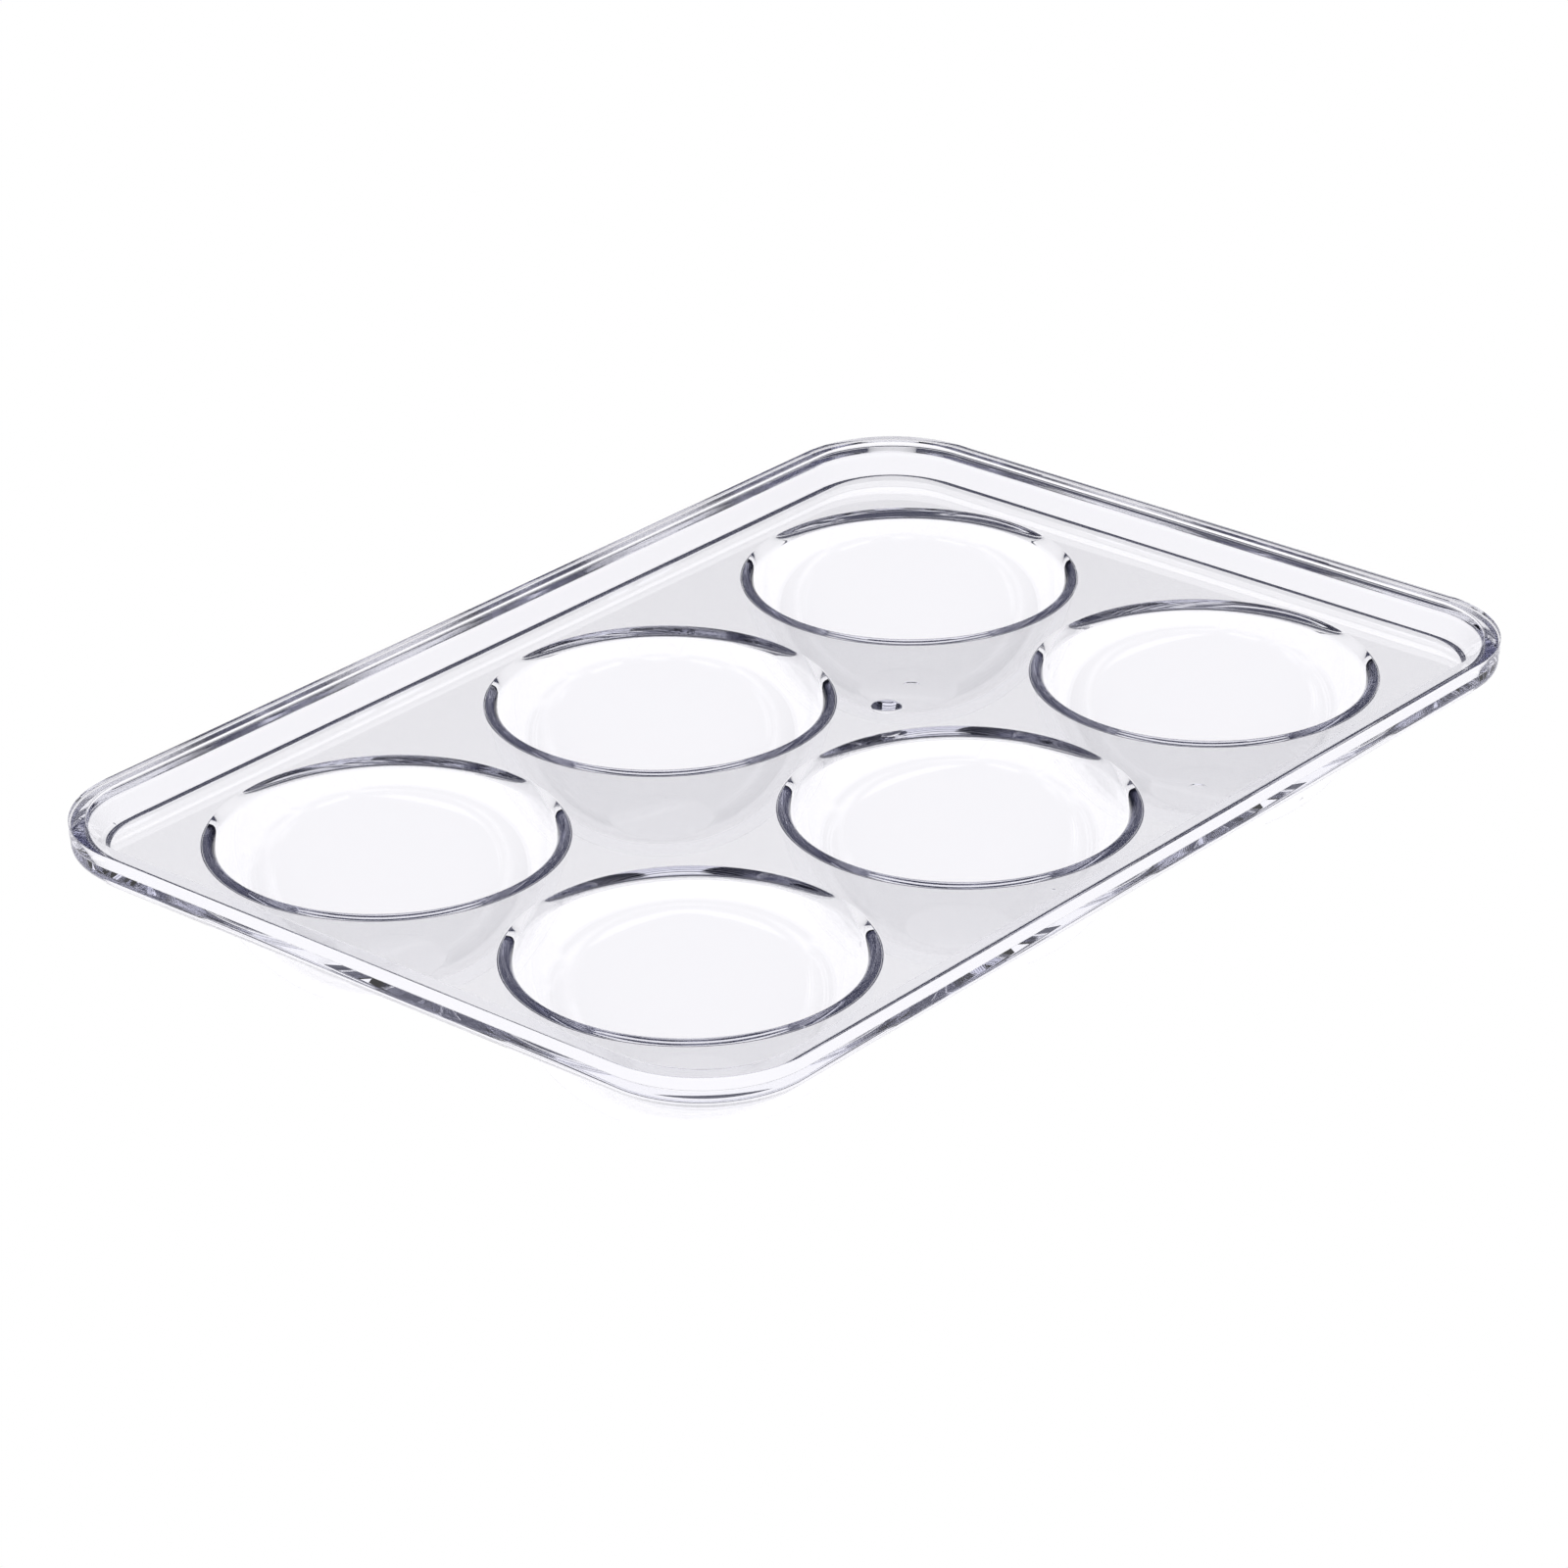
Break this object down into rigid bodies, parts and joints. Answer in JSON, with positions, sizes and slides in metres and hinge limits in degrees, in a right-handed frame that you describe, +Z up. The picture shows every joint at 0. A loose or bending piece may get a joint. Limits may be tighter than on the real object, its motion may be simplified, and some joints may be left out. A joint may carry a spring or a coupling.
{
  "type": "egg tray",
  "caption": "Clear rectangular plastic tray with round bowl-shaped cups for eggs, a raised sloping rim and small flat feet.",
  "frame": {"origin": "on the ground plane that the cup feet stand on, under the centre of the tray", "axes": "+X along the length, across the three cup columns; +Y across the width, from the front row to the back row; +Z up, out of the cups' mouths"},
  "size_m": [0.195, 0.1324, 0.0286],
  "materials": {
    "clear_plastic": "polished clear styrene plastic, faint cool violet tint where it is thick"
  },
  "bodies": {
    "root": {"deck_plate": "clear_plastic", "rim": "clear_plastic", "cup_front_left": "clear_plastic", "cup_front_middle": "clear_plastic", "cup_front_right": "clear_plastic", "cup_back_left": "clear_plastic", "cup_back_middle": "clear_plastic", "cup_back_right": "clear_plastic"}
  },
  "joints": []
}
